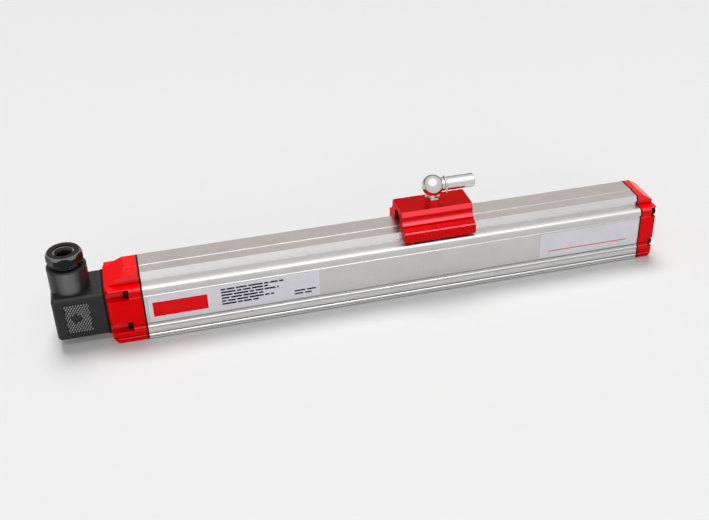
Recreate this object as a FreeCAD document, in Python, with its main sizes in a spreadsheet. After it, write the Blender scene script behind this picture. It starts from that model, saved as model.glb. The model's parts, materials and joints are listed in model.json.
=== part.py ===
import FreeCAD, Part
import math
import os

import Sketcher

# Magnetostrictive position sensor: a hollow aluminium extrusion that holds the waveguide,
# two end caps, an angled plug, and a magnet slider that runs on the dovetail rail on top.
# Row frame: X along the extrusion from its middle, Y across with the label side at -Y,
# Z up from the bottom face. All sizes are in millimetres.

SIZES = [
    # extrusion
    ("profile_length", 300.0, "extrusion between the two gaskets"),
    ("body_width", 36.0, "extrusion across its flat sides"),
    ("shoulder_height", 34.5, "bottom face to the shoulders beside the rail"),
    ("rail_height", 5.5, "shoulder to the flat top of the rail"),
    ("rail_top_width", 20.0, "flat top of the dovetail rail"),
    ("rail_wide_width", 23.0, "widest part of the dovetail rail"),
    ("rail_neck_width", 20.4, "dovetail rail at the shoulder"),
    ("rail_chamfer_drop", 3.0, "rail top down to its widest part"),
    ("bead_width", 5.6, "shallow bead along the middle of the rail"),
    ("bead_height", 0.4, "bead above the rail top"),
    ("shoulder_radius", 2.5, "round between shoulder and side"),
    ("corner_chamfer", 0.5, "bottom corners"),
    ("panel_low", 10.5, "lower edge of the recessed label panel"),
    ("panel_high", 28.2, "upper edge of the recessed label panel"),
    ("panel_recess", 0.7, "depth of the recessed label panel"),
    ("panel_slit", 0.6, "narrow slit along each edge of the panel"),
    ("panel_slit_depth", 0.8, "depth of that slit"),
    ("panel_ledge", 1.1, "ledge between the slit and the bevel"),
    ("panel_bevel", 0.5, "bevel above the lower strip"),
    ("panel_upper_bevel", 0.4, "bevel at the top of the panel"),
    ("strip_height", 7.1, "top of the rounded lower strip"),
    ("strip_drop", 1.7, "height of the round on the lower strip"),
    ("strip_set_back", 0.4, "strip's round at its top, behind the side"),
    ("strip_round", 3.5, "radius of the round on the lower strip"),
    ("line_width", 0.3, "fine lines along the sides"),
    ("line_depth", 0.6, "fine lines along the sides"),
    ("line_height", 1.4, "lowest fine line above the bottom"),
    ("slot_bevel", 0.4, "bevel under the clamp slot"),
    ("clamp_slot_height", 3.6, "middle of the clamp slot above the bottom"),
    ("clamp_slot_width", 0.9, "opening of the clamp slot"),
    ("clamp_slot_depth", 3.0, "depth of the clamp slot"),
    ("wall", 2.4, "floor wall of the extrusion"),
    ("side_wall", 2.6, "side walls of the extrusion"),
    ("top_wall", 2.4, "metal above the chamber, under the shoulders"),
    ("rail_wall", 2.8, "metal above the waveguide channel in the rail"),
    ("channel_width", 8.6, "waveguide channel inside the rail"),
    ("slot_land", 5.8, "width of the solid corner inside each clamp slot"),
    ("slot_land_height", 6.6, "top of that corner above the bottom"),
    ("screw_offset", 14.0, "screw ports from the middle plane"),
    ("screw_row_low", 10.0, "lower screw ports above the bottom"),
    ("screw_row_high", 31.0, "upper screw ports above the bottom"),
    ("port_radius", 3.0, "outside of the round screw ports"),
    ("mark_spacing", 161.0, "distance between the two stroke marks"),
    ("mark_shift", 34.5, "middle of the stroke from the middle of the extrusion"),
    ("mark_width", 2.6, "base of each triangular stroke mark"),
    ("mark_depth", 0.25, "depth of each stroke mark"),
    # board and waveguide
    ("board_thickness", 1.6, "circuit board"),
    ("board_height", 15.5, "underside of the board above the bottom"),
    ("board_length", 170.0, "circuit board"),
    ("rib_reach", 1.6, "board guide ribs out of the side walls"),
    ("rib_thickness", 0.9, "each board guide rib"),
    ("board_play", 0.1, "play of the board in its guides"),
    ("board_inset", 2.0, "board end back from the extrusion end"),
    ("header_length", 6.4, "plug header on the board"),
    ("header_height", 4.8, "plug header on the board"),
    ("chip_width", 9.0, "processor and regulator"),
    ("chip_height", 1.6, "processor and regulator"),
    ("chip_start", 37.0, "processor from the board's end"),
    ("chip_spacing", 51.0, "regulator from the processor"),
    ("capacitor_radius", 3.2, "capacitors"),
    ("capacitor_height", 6.4, "capacitors"),
    ("capacitor_start", 58.0, "first capacitor from the board's end"),
    ("capacitor_spacing", 12.0, "between the middles of the capacitors"),
    ("capacitor_shift", 4.5, "capacitors from the board's middle line"),
    ("lead_width", 1.4, "leads from the socket to the board"),
    ("lead_thickness", 0.6, "leads from the socket to the board"),
    ("waveguide_height", 35.0, "axis of the waveguide above the bottom"),
    ("wire_radius", 0.4, "waveguide wire"),
    ("tube_radius", 1.6, "outside of the waveguide tube"),
    ("tube_bore", 0.9, "inside radius of the waveguide tube"),
    ("inner_play", 0.1, "play of the inner pieces in the extrusion"),
    ("carrier_height", 4.2, "waveguide carrier"),
    ("head_length", 16.0, "pick-up head on the waveguide"),
    ("head_drop", 6.0, "pick-up head below the chamber roof"),
    ("damper_length", 18.0, "damping block on the far end"),
    ("waveguide_inset", 3.0, "waveguide parts back from the extrusion ends"),
    # end caps and gaskets
    ("gasket_thickness", 1.0, "end gaskets"),
    ("connector_cap_length", 19.5, "cap on the connector side"),
    ("plain_cap_length", 9.5, "cap on the far side"),
    ("slope_start_connector", 7.0, "level top of the connector cap"),
    ("slope_start_plain", 2.8, "level top of the plain cap"),
    ("slope_end_connector", 33.6, "end of the sloped top of the connector cap above the bottom"),
    ("slope_end_plain", 36.4, "end of the sloped top of the plain cap above the bottom"),
    ("bottom_round_connector", 6.0, "bottom end corner of the connector cap"),
    ("bottom_round_plain", 5.0, "bottom end corner of the plain cap"),
    ("side_round_connector", 5.0, "upright end corners of the connector cap"),
    ("side_round_plain", 1.6, "upright end corners of the plain cap"),
    ("cap_end_wall", 4.0, "end wall of the caps"),
    ("cap_roof", 4.6, "connector cap from its chamber roof to the shoulder"),
    ("cap_floor", 4.2, "floor wall of the caps"),
    ("window_half_width", 9.6, "opening in the gaskets"),
    ("pocket_radius", 3.0, "open channels for the screw heads in the caps"),
    ("head_stack_connector", 6.7, "gasket to the head seats in the connector cap"),
    ("head_stack_plain", 6.3, "gasket to the head seats in the plain cap"),
    ("screw_radius", 1.5, "cap screws"),
    ("screw_hole_play", 0.2, "clearance of the cap screws in caps and gaskets"),
    ("thread_play", 0.05, "clearance drawn for threads"),
    ("screw_head_radius", 2.75, "head of the cap screws"),
    ("screw_head_height", 3.0, "head of the cap screws"),
    ("screw_key_width", 2.5, "hexagon key across its flats"),
    ("screw_key_depth", 1.5, "depth of the hexagon"),
    ("screw_grip", 10.0, "thread of the cap screws in the extrusion"),
    # angled plug
    ("plug_height", 18.6, "middle of the plug above the bottom"),
    ("plug_width", 27.5, "plug housing across and upright"),
    ("plug_length", 28.0, "plug housing along the sensor"),
    ("plug_wall", 2.2, "walls of the plug housing"),
    ("plug_end_wall", 3.6, "end wall of the plug housing"),
    ("plug_edge_round", 2.4, "long edges of the plug housing"),
    ("plug_end_chamfer", 1.3, "end edges of the plug housing"),
    ("seal_thickness", 1.2, "flat seal under the plug"),
    ("stem_width", 16.5, "square stem of the socket"),
    ("stem_play", 0.2, "play around the stem"),
    ("socket_flange", 1.4, "socket flange beyond its stem"),
    ("socket_flange_thickness", 3.0, "socket flange"),
    ("blade_length", 11.0, "contact blades in front of the socket"),
    ("blade_width", 4.8, "contact blades"),
    ("blade_thickness", 0.8, "contact blades"),
    ("blade_offset", 6.6, "contact blades from the plug axis"),
    ("block_length", 14.0, "terminal block"),
    ("block_play", 0.2, "play of the terminal block in the housing"),
    ("block_set_back", 1.0, "terminal block behind the open end of the plug"),
    ("tower_radius", 11.0, "cable tower"),
    ("tower_top", 46.8, "top of the cable tower above the bottom"),
    ("tower_bore", 8.4, "bore of the cable tower"),
    ("tower_rim_chamfer", 0.7, "rim of the cable tower"),
    ("panel_grip_width", 14.0, "hatched grip panel on the plug"),
    ("panel_grip_height", 20.4, "hatched grip panel on the plug"),
    ("panel_grip_depth", 0.5, "depth of the grip panel"),
    ("panel_grip_position", 15.0, "middle of the grip panel from the socket end"),
    ("dimple_radius", 2.6, "plain dimple in the grip panel"),
    ("dimple_depth", 0.4, "depth of the dimple in the grip panel"),
    ("dimple_shift", 1.3, "dimple from the middle of the grip panel, away from the socket"),
    ("fixing_radius", 1.5, "central fixing screw"),
    ("fixing_head_radius", 3.2, "head of the central fixing screw"),
    ("fixing_head_height", 2.4, "head of the central fixing screw"),
    ("fixing_recess_radius", 4.2, "recess around the fixing screw head"),
    ("fixing_recess_depth", 2.4, "recess around the fixing screw head"),
    ("ring_thickness", 0.8, "sealing ring under the fixing screw"),
    # cable gland
    ("nut_gap", 0.9, "gap between tower and nut"),
    ("nut_height", 7.7, "gland nut above the gap"),
    ("nut_across", 18.6, "gland nut across its flats"),
    ("nut_radius", 10.1, "gland nut over its rounded corners"),
    ("nut_bore", 5.9, "opening of the gland nut"),
    ("nut_top_wall", 0.8, "inner shoulder of the gland nut"),
    ("nut_thread_radius", 8.2, "threaded skirt of the gland nut"),
    ("nut_thread_length", 9.0, "threaded skirt below the nut"),
    ("nut_inner_radius", 6.9, "inside of the gland nut"),
    ("nut_lower_chamfer", 0.6, "lower edges of the gland nut and its band"),
    ("nut_band_height", 1.9, "round band under the hexagon"),
    ("nut_band_radius", 9.0, "round band under the hexagon"),
    ("nut_rim_width", 1.2, "chamfer on top of the hexagon"),
    ("nut_rim_drop", 1.6, "height of that chamfer"),
    ("grommet_bore", 4.0, "rubber grommet for the cable"),
    ("grommet_height", 8.0, "rubber grommet"),
    ("grommet_play", 0.2, "play of the grommet and washer"),
    ("washer_thickness", 1.8, "sliding washer above the grommet"),
    ("washer_bore", 5.2, "sliding washer"),
    # slider
    ("slider_length", 43.0, "slider along the rail"),
    ("slider_rest", 23.0, "slider middle from the middle of the extrusion"),
    ("slider_top", 52.0, "slider top above the bottom"),
    ("slider_bottom", 36.0, "slider skirt above the bottom"),
    ("slider_top_width", 17.4, "flat top of the slider"),
    ("slider_chamfer", 1.5, "chamfer beside the flat top"),
    ("slider_chamfer_drop", 2.6, "height of that chamfer"),
    ("slider_cove_top", 48.2, "start of the hollow cove on each side of the slider"),
    ("slider_cove_foot", 44.7, "end of the cove above the bottom"),
    ("slider_cove_width", 24.5, "slider across the feet of the coves"),
    ("slider_cove_radius", 4.1, "radius of the coves"),
    ("slider_crease", 43.4, "crease under the cove above the bottom"),
    ("slider_skirt_top", 42.2, "top of the upright skirt above the bottom"),
    ("slider_skirt_edge", 0.5, "chamfer on top of the skirt"),
    ("slider_width", 33.6, "slider over its skirts"),
    ("magnet_channel_radius", 5.0, "round channel for the magnets"),
    ("magnet_channel_height", 44.2, "axis of the magnet channel above the bottom"),
    ("magnet_play", 0.2, "play of the magnets"),
    ("magnet_length", 12.0, "each magnet"),
    ("magnet_spacing", 22.0, "between the middles of the two magnets"),
    ("magnet_gap", 0.6, "air gap between the rail's bead and the magnets"),
    ("glide_play", 0.3, "running clearance between rail and glides"),
    ("glide_thickness", 1.1, "plastic glides"),
    ("glide_seat", 0.2, "clearance between glides and slider"),
    ("glide_inner", 5.8, "inner edge of the glides from the middle plane"),
    ("lip_height", 0.2, "glides above the slider bottom"),
    # ball joint
    ("ball_radius", 4.0, "ball of the stud"),
    ("ball_height", 10.2, "middle of the ball above the slider top"),
    ("ball_play", 0.12, "play of the ball in the cup"),
    ("stud_neck_radius", 2.3, "neck under the ball"),
    ("collar_across", 8.0, "hexagon collar across its flats"),
    ("collar_height", 3.6, "hexagon collar"),
    ("stud_radius", 2.5, "thread of the stud"),
    ("stud_length", 4.2, "thread of the stud"),
    ("cup_radius", 6.4, "outside of the cup"),
    ("cup_mouth_drop", 4.5, "mouth of the cup below the ball middle"),
    ("cup_mouth_radius", 3.6, "mouth of the cup"),
    ("cup_lip_radius", 3.3, "lip that holds the ball"),
    ("shank_radius", 4.0, "shank of the cup"),
    ("shank_reach", 25.0, "end of the shank from the ball middle"),
    ("shank_thread_radius", 2.1, "thread in the shank"),
    ("shank_thread_depth", 13.0, "thread in the shank"),
    ("shank_chamfer", 0.6, "end of the shank"),
    ("clip_position", 7.3, "wire clip from the ball middle"),
    ("clip_wire_radius", 0.6, "wire clip"),
    ("clip_seat_radius", 3.55, "groove for the wire clip"),
    ("clip_play", 0.1, "wire clip in its groove"),
    ("clip_drop", 3.5, "legs of the wire clip below the ball middle"),
    # labels
    ("label_thickness", 0.15, "labels"),
    ("label_margin", 0.4, "labels inside the panel edges"),
    ("label_inset", 1.8, "long label from the connector end of the extrusion"),
    ("long_label_length", 98.0, "label near the plug"),
    ("short_label_length", 64.0, "label near the far end"),
    ("short_label_inset", 0.6, "short label from the far end of the extrusion"),
]


class Size:
    """A length known both as a number and as an expression on the sheet of sizes."""

    def __init__(self, text, value):
        self.text = text
        self.value = value

    def _join(self, other, sign, result):
        text = other.text if isinstance(other, Size) else repr(other)
        return Size("(%s %s %s)" % (self.text, sign, text), result)

    def __add__(self, other):
        return self._join(other, "+", self.value + number(other))

    def __sub__(self, other):
        return self._join(other, "-", self.value - number(other))

    def __mul__(self, other):
        return self._join(other, "*", self.value * number(other))

    def __truediv__(self, other):
        return self._join(other, "/", self.value / number(other))

    def __neg__(self):
        return Size("(0 - %s)" % self.text, -self.value)

    def root(self):
        return Size("sqrt(%s)" % self.text, self.value ** 0.5)


def number(size):
    return size.value if isinstance(size, Size) else float(size)


class Sizes:
    """The driving sizes, each a cell of the sheet, read as attributes."""

    def __init__(self, document, rows):
        sheet = document.addObject("Spreadsheet::Sheet", "Sizes")
        for line, (alias, value, note) in enumerate(rows, start=1):
            sheet.set("A%d" % line, alias)
            sheet.set("B%d" % line, str(value))
            sheet.set("C%d" % line, note)
            sheet.setAlias("B%d" % line, alias)
            setattr(self, alias, Size("Sizes." + alias, value))


doc = FreeCAD.newDocument("position_sensor")
s = Sizes(doc, SIZES)
doc.recompute()
ZERO = s.body_width * 0
pieces = []


def bind(thing, prop, size):
    if isinstance(size, Size):
        thing.setExpression(prop, size.text)
    else:
        setattr(thing, prop, size)


def place(thing, x=ZERO, y=ZERO, z=ZERO, rotation=FreeCAD.Rotation()):
    start = FreeCAD.Vector(number(x), number(y), number(z))
    thing.Placement = FreeCAD.Placement(start, rotation)
    for axis, size in (("x", x), ("y", y), ("z", z)):
        thing.setExpression("Placement.Base." + axis, size.text)


def register(thing, label):
    thing.Label = label
    pieces.append(thing)
    return thing


# Sketches and features of bodies

def new_body(name):
    body = doc.addObject("PartDesign::Body", "body_" + name)
    return register(body, name)


def new_sketch(body, plane, offset=ZERO):
    sketch = body.newObject("Sketcher::SketchObject", "sketch")
    support = [item for item in body.Origin.OriginFeatures if item.Role == plane][0]
    sketch.AttachmentSupport = [(support, "")]
    sketch.MapMode = "FlatFace"
    sketch.setExpression("AttachmentOffset.Base.z", offset.text)
    return sketch


def tie(sketch, kind, target, size):
    """One driving constraint whose value is an expression on the sheet."""
    index = sketch.addConstraint(Sketcher.Constraint(kind, *target, size.value))
    sketch.setExpression("Constraints[%d]" % index, size.text)


def outline(sketch, corners):
    """A closed outline. Each corner is (across, up), and (across, up, radius) where an
    arc of that radius, bulging outwards, runs from it to the next corner."""
    first = sketch.GeometryCount
    count = len(corners)
    for index, corner in enumerate(corners):
        following = corners[(index + 1) % count]
        start = FreeCAD.Vector(corner[0].value, corner[1].value, 0)
        end = FreeCAD.Vector(following[0].value, following[1].value, 0)
        if len(corner) == 2:
            sketch.addGeometry(Part.LineSegment(start, end))
        else:
            sketch.addGeometry(bulging_arc(start, end, abs(corner[2].value), corner[2].value > 0))
    for index, corner in enumerate(corners):
        here = first + index
        after = first + (index + 1) % count
        flipped = len(corner) == 3 and corner[2].value < 0
        next_corner = corners[(index + 1) % count]
        next_flipped = len(next_corner) == 3 and next_corner[2].value < 0
        end_point = 1 if flipped else 2
        start_point = 2 if next_flipped else 1
        sketch.addConstraint(Sketcher.Constraint("Coincident", here, end_point, after, start_point))
    for index, corner in enumerate(corners):
        flipped = len(corner) == 3 and corner[2].value < 0
        target = (first + index, 2 if flipped else 1)
        tie(sketch, "DistanceX", target, corner[0])
        tie(sketch, "DistanceY", target, corner[1])
        if len(corner) == 3:
            radius = -corner[2] if flipped else corner[2]
            tie(sketch, "Radius", (first + index,), radius)


def bulging_arc(start, end, radius, to_the_right):
    """Arc from start to end, less than half a turn. With to_the_right its middle lies to the
    right of the way from start to end, and the arc is walked anticlockwise."""
    chord = end - start
    middle = (start + end) * 0.5
    side = FreeCAD.Vector(chord.y, -chord.x, 0).normalize()
    if not to_the_right:
        side = -side
    sagitta = radius - max(radius ** 2 - (chord.Length / 2) ** 2, 0) ** 0.5
    return Part.Arc(start, middle + side * sagitta, end)


def circles(sketch, places, radius):
    for across, up in places:
        centre = FreeCAD.Vector(across.value, up.value, 0)
        index = sketch.addGeometry(Part.Circle(centre, FreeCAD.Vector(0, 0, 1), radius.value))
        tie(sketch, "Radius", (index,), radius)
        tie(sketch, "DistanceX", (index, 3), across)
        tie(sketch, "DistanceY", (index, 3), up)


def rectangle(sketch, left, right, low, high):
    outline(sketch, [(left, low), (right, low), (right, high), (left, high)])


def extrude(body, kind, sketch, length, reversed=False, middle=False):
    before = body.Shape.Volume if body.Shape and not body.Shape.isNull() else 0.0
    feature = body.newObject("PartDesign::" + kind, kind.lower())
    feature.Profile = sketch
    feature.Reversed = reversed
    if middle:
        feature.SideType = "Symmetric"
    feature.setExpression("Length", length.text)
    body.Tip = feature
    doc.recompute()
    change = feature.Shape.Volume - before
    if (change <= 0) if kind == "Pad" else (change >= 0):
        raise RuntimeError("%s of %s changes nothing" % (kind, body.Label))
    return feature


def pad(body, sketch, length, **options):
    return extrude(body, "Pad", sketch, length, **options)


def pocket(body, sketch, length, **options):
    return extrude(body, "Pocket", sketch, length, **options)


def revolve(body, kind, sketch, axis, angle=360):
    feature = body.newObject("PartDesign::" + kind, kind.lower())
    feature.Profile = sketch
    feature.ReferenceAxis = (sketch, [axis])
    feature.Angle = angle
    body.Tip = feature
    doc.recompute()
    return feature


def edges_where(feature, wanted):
    names = []
    for index, edge in enumerate(feature.Shape.Edges, start=1):
        if wanted(edge):
            names.append("Edge%d" % index)
    if not names:
        raise RuntimeError("no edge found on " + feature.Label)
    return names


def dress(body, kind, feature, wanted, size):
    """Fillet or Chamfer on the edges of the feature that the test picks."""
    result = body.newObject("PartDesign::" + kind, kind.lower())
    result.Base = (feature, edges_where(feature, wanted))
    result.setExpression("Radius" if kind == "Fillet" else "Size", size.text)
    body.Tip = result
    doc.recompute()
    return result


# Primitives and booleans

def box(length, width, height, x, y, z):
    """Box centred on x and y, standing on z."""
    item = doc.addObject("Part::Box", "box")
    for prop, size in (("Length", length), ("Width", width), ("Height", height)):
        bind(item, prop, size)
    place(item, x - length / 2, y - width / 2, z)
    return item


def cylinder(radius, height, x=ZERO, y=ZERO, z=ZERO, along="z"):
    item = doc.addObject("Part::Cylinder", "cylinder")
    bind(item, "Radius", radius)
    bind(item, "Height", height)
    turns = {"z": FreeCAD.Rotation(), "x": FreeCAD.Rotation(FreeCAD.Vector(0, 1, 0), 90)}
    place(item, x, y, z, turns[along])
    return item


def hexagon(across, height, x=ZERO, y=ZERO, z=ZERO, along="z"):
    item = doc.addObject("Part::Prism", "prism")
    item.Polygon = 6
    bind(item, "Circumradius", across / 3 ** 0.5)
    bind(item, "Height", height)
    turns = {"z": FreeCAD.Rotation(), "x": FreeCAD.Rotation(FreeCAD.Vector(0, 1, 0), 90)}
    place(item, x, y, z, turns[along])
    return item


def sphere(radius, low, high, x=ZERO, y=ZERO, z=ZERO):
    """Ball cut flat at two angles of latitude, in degrees."""
    item = doc.addObject("Part::Sphere", "sphere")
    bind(item, "Radius", radius)
    item.Angle1 = low
    item.Angle2 = high
    place(item, x, y, z)
    return item


def fuse(*items):
    result = doc.addObject("Part::MultiFuse", "fuse")
    result.Shapes = list(items)
    return result


def cut(base, tool):
    result = doc.addObject("Part::Cut", "cut")
    result.Base = base
    result.Tool = tool
    return result


def common(*items):
    result = doc.addObject("Part::MultiCommon", "common")
    result.Shapes = list(items)
    return result


def group(*items):
    result = doc.addObject("Part::Compound", "group")
    result.Links = list(items)
    return result


# Places worked out from the driving sizes

LEFT_END = -(s.profile_length / 2)
RIGHT_END = s.profile_length / 2
CAP_LEFT = LEFT_END - s.gasket_thickness
CAP_RIGHT = RIGHT_END + s.gasket_thickness
PLUG_FACE = CAP_LEFT - s.connector_cap_length
TOWER_SET = s.plug_length - s.tower_radius
HALF = s.body_width / 2
RAIL_TOP = s.shoulder_height + s.rail_height
RAIL_WIDE_HEIGHT = RAIL_TOP - s.rail_chamfer_drop
SCREW_PLACES = [(side, row) for side in (-s.screw_offset, s.screw_offset)
                for row in (s.screw_row_low, s.screw_row_high)]


def mirrored(half):
    """Both sides of a symmetric outline, anticlockwise, from the points of its right half."""
    other = []
    for index in range(len(half) - 1, -1, -1):
        point = half[index]
        other.append((-point[0], point[1]))
    for index in range(len(half) - 1):
        if len(half[index]) == 3:
            place_in_other = len(half) - 2 - index
            other[place_in_other] = other[place_in_other] + (half[index][2],)
    return list(half) + other


def profile_half():
    """Right half of the extrusion's outer section, from the bottom corner to the bead."""
    slot_low = s.clamp_slot_height - s.clamp_slot_width / 2
    slot_high = s.clamp_slot_height + s.clamp_slot_width / 2
    slot_end = HALF - s.clamp_slot_depth
    line = HALF - s.line_depth
    panel = HALF - s.panel_recess
    slit = panel - s.panel_slit_depth
    ledge = HALF - s.panel_bevel
    lower_ledge = s.panel_low - s.panel_slit
    upper_ledge = s.panel_high + s.panel_upper_bevel
    upper_slit = upper_ledge + s.panel_ledge
    return [
        (HALF - s.corner_chamfer, ZERO),
        (HALF, s.corner_chamfer),
        (HALF, s.line_height),
        (line, s.line_height),
        (line, s.line_height + s.line_width),
        (HALF, s.line_height + s.line_width),
        (HALF, slot_low - s.slot_bevel),
        (HALF - s.slot_bevel, slot_low),
        (slot_end, slot_low),
        (slot_end, slot_high),
        (HALF, slot_high),
        (HALF, s.strip_height - s.strip_drop, s.strip_round),
        (HALF - s.strip_set_back, s.strip_height),
        (line, s.strip_height),
        (line, s.strip_height + s.line_width),
        (HALF, s.strip_height + s.line_width),
        (HALF, lower_ledge - s.panel_ledge - s.panel_bevel),
        (ledge, lower_ledge - s.panel_ledge),
        (ledge, lower_ledge),
        (slit, lower_ledge),
        (slit, s.panel_low),
        (panel, s.panel_low),
        (panel, s.panel_high),
        (panel - s.panel_upper_bevel, upper_ledge),
        (panel - s.panel_upper_bevel, upper_slit),
        (slit - s.panel_upper_bevel, upper_slit),
        (slit - s.panel_upper_bevel, upper_slit + s.panel_slit),
        (HALF, upper_slit + s.panel_slit),
        (HALF, s.shoulder_height - s.shoulder_radius, s.shoulder_radius),
        (HALF - s.shoulder_radius, s.shoulder_height),
        (s.rail_neck_width / 2, s.shoulder_height),
        (s.rail_wide_width / 2, RAIL_WIDE_HEIGHT),
        (s.rail_top_width / 2, RAIL_TOP),
        (s.bead_width / 2, RAIL_TOP),
        (s.bead_width / 2 - s.bead_height, RAIL_TOP + s.bead_height),
    ]


def chamber_half():
    """Right half of the hollow inside the extrusion, with the guide ribs for the board."""
    inner = HALF - s.side_wall
    rib = inner - s.rib_reach
    board_low = s.board_height - s.board_play
    board_high = s.board_height + s.board_thickness + s.board_play
    land = HALF - s.slot_land
    return [
        (land, s.wall),
        (land, s.slot_land_height),
        (inner, s.slot_land_height),
        (inner, board_low - s.rib_thickness),
        (rib, board_low - s.rib_thickness),
        (rib, board_low),
        (inner, board_low),
        (inner, board_high),
        (rib, board_high),
        (rib, board_high + s.rib_thickness),
        (inner, board_high + s.rib_thickness),
        (inner, s.shoulder_height - s.top_wall),
        (s.channel_width / 2, s.shoulder_height - s.top_wall),
        (s.channel_width / 2, RAIL_TOP - s.rail_wall),
    ]


def screw_circles(body, radius, offset=ZERO):
    sketch = new_sketch(body, "YZ_Plane", offset)
    circles(sketch, SCREW_PLACES, radius)
    return sketch


def make_profile():
    body = new_body("profile")
    section = new_sketch(body, "YZ_Plane")
    outline(section, mirrored(profile_half()))
    pad(body, section, s.profile_length, middle=True)
    hollow = new_sketch(body, "YZ_Plane")
    outline(hollow, mirrored(chamber_half()))
    pocket(body, hollow, s.profile_length, middle=True)
    pad(body, screw_circles(body, s.port_radius), s.profile_length, middle=True)
    port = s.screw_radius + s.thread_play
    pocket(body, screw_circles(body, port), s.profile_length, middle=True)
    marks = new_sketch(body, "XY_Plane", RAIL_TOP + s.bead_height)
    for side in (-1, 1):
        middle = s.mark_shift + s.mark_spacing / 2 * side
        tip = -(s.bead_width / 2) + s.bead_height
        outline(marks, [
            (middle, tip),
            (middle + s.mark_width / 2, s.bead_width / 2 - s.bead_height * 2),
            (middle - s.mark_width / 2, s.bead_width / 2 - s.bead_height * 2),
        ])
    pocket(body, marks, s.mark_depth)
    place(body)


def make_gasket(name, x):
    body = new_body(name)
    sheet = new_sketch(body, "YZ_Plane")
    outline(sheet, mirrored(profile_half()))
    pad(body, sheet, s.gasket_thickness)
    window = new_sketch(body, "YZ_Plane")
    roof = s.shoulder_height - s.cap_roof
    rectangle(window, -s.window_half_width, s.window_half_width, s.cap_floor, roof)
    pocket(body, window, s.gasket_thickness, reversed=True)
    holes = screw_circles(body, s.screw_radius + s.screw_hole_play)
    pocket(body, holes, s.gasket_thickness, reversed=True)
    place(body, x)


def trim_cap(body, length, towards, level, slope_end, bottom_round, side_round):
    """Sloped top, rounded bottom end and rounded upright end corners of a cap that
    reaches from its own YZ plane to length, on the side given by towards."""
    beyond = s.bead_height * 5
    end = length * towards
    outer = (length + beyond) * towards
    start = level * towards
    above = RAIL_TOP + beyond
    slope = new_sketch(body, "XZ_Plane")
    corners = [(start, RAIL_TOP + s.bead_height), (end, slope_end), (outer, slope_end),
               (outer, above), (start, above)]
    outline(slope, corners)
    pocket(body, slope, s.body_width * 2, middle=True)
    bottom = new_sketch(body, "XZ_Plane")
    inner = (length - bottom_round) * towards
    outline(bottom, [(end, bottom_round, -bottom_round * towards), (inner, ZERO),
                     (inner, -beyond), (outer, -beyond), (outer, bottom_round)])
    pocket(body, bottom, s.body_width * 2, middle=True)
    upright = new_sketch(body, "XY_Plane", s.shoulder_height)
    for side in (-1, 1):
        inner = (length - side_round) * towards
        edge = HALF * side
        wide = (HALF + beyond) * side
        arc = side_round * towards * side
        outline(upright, [(end, edge - side_round * side, arc), (inner, edge), (inner, wide),
                          (outer, wide), (outer, edge - side_round * side)])
    pocket(body, upright, s.shoulder_height + beyond)


def make_cap(name, towards, length, head_stack, shape):
    body = new_body(name)
    section = new_sketch(body, "YZ_Plane")
    outline(section, mirrored(profile_half()))
    pad(body, section, length, reversed=towards < 0)
    trim_cap(body, length, towards, *shape)
    inwards = towards < 0
    seats = screw_circles(body, s.pocket_radius, length * towards)
    pocket(body, seats, length - head_stack, reversed=inwards)
    channels = new_sketch(body, "YZ_Plane", length * towards)
    for side in (-1, 1):
        for row in (s.screw_row_low, s.screw_row_high):
            across = sorted((s.screw_offset * side, s.body_width * side), key=number)
            rectangle(channels, *across, row - s.pocket_radius, row + s.pocket_radius)
    pocket(body, channels, length - head_stack, reversed=inwards)
    holes = screw_circles(body, s.screw_radius + s.screw_hole_play)
    pocket(body, holes, length, reversed=not inwards)
    return body


def make_connector_cap():
    shape = (s.slope_start_connector, s.slope_end_connector, s.bottom_round_connector,
             s.side_round_connector)
    body = make_cap("connector_end_cap", -1, s.connector_cap_length, s.head_stack_connector,
                    shape)
    chamber = new_sketch(body, "YZ_Plane")
    half = s.stem_width / 2 + s.socket_flange + s.stem_play
    rectangle(chamber, -half, half, s.plug_height - half, s.plug_height + half)
    pocket(body, chamber, s.connector_cap_length - s.cap_end_wall, reversed=False)
    opening = new_sketch(body, "YZ_Plane")
    half = s.stem_width / 2 + s.stem_play
    rectangle(opening, -half, half, s.plug_height - half, s.plug_height + half)
    pocket(body, opening, s.connector_cap_length, reversed=False)
    place(body, CAP_LEFT)


def make_plain_cap():
    shape = (s.slope_start_plain, s.slope_end_plain, s.bottom_round_plain, s.side_round_plain)
    body = make_cap("plain_end_cap", 1, s.plain_cap_length, s.head_stack_plain, shape)
    chamber = new_sketch(body, "YZ_Plane")
    roof = s.shoulder_height - s.cap_roof
    rectangle(chamber, -s.window_half_width, s.window_half_width, s.cap_floor, roof)
    pocket(body, chamber, s.plain_cap_length - s.cap_end_wall, reversed=True)
    place(body, CAP_RIGHT)


def make_cap_screws(name, seat, towards):
    screws = []
    for side, row in SCREW_PLACES:
        head_start = seat if towards > 0 else seat - s.screw_head_height
        key_start = seat + s.screw_head_height * towards
        key_start = key_start - s.screw_key_depth if towards > 0 else key_start
        stack = s.head_stack_plain if towards > 0 else s.head_stack_connector
        thread = stack + s.gasket_thickness + s.screw_grip
        thread_start = seat - thread if towards > 0 else seat
        head = cylinder(s.screw_head_radius, s.screw_head_height, head_start, side, row, "x")
        shaft = cylinder(s.screw_radius, thread, thread_start, side, row, "x")
        key = hexagon(s.screw_key_width, s.screw_key_depth, key_start, side, row, "x")
        screws.append(cut(fuse(head, shaft), key))
    register(group(*screws), name)


def make_board():
    width = (HALF - s.side_wall - s.inner_play) * 2
    middle = LEFT_END + s.board_inset + s.board_length / 2
    register(box(s.board_length, width, s.board_thickness, middle, ZERO, s.board_height),
             "circuit_board")


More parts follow.
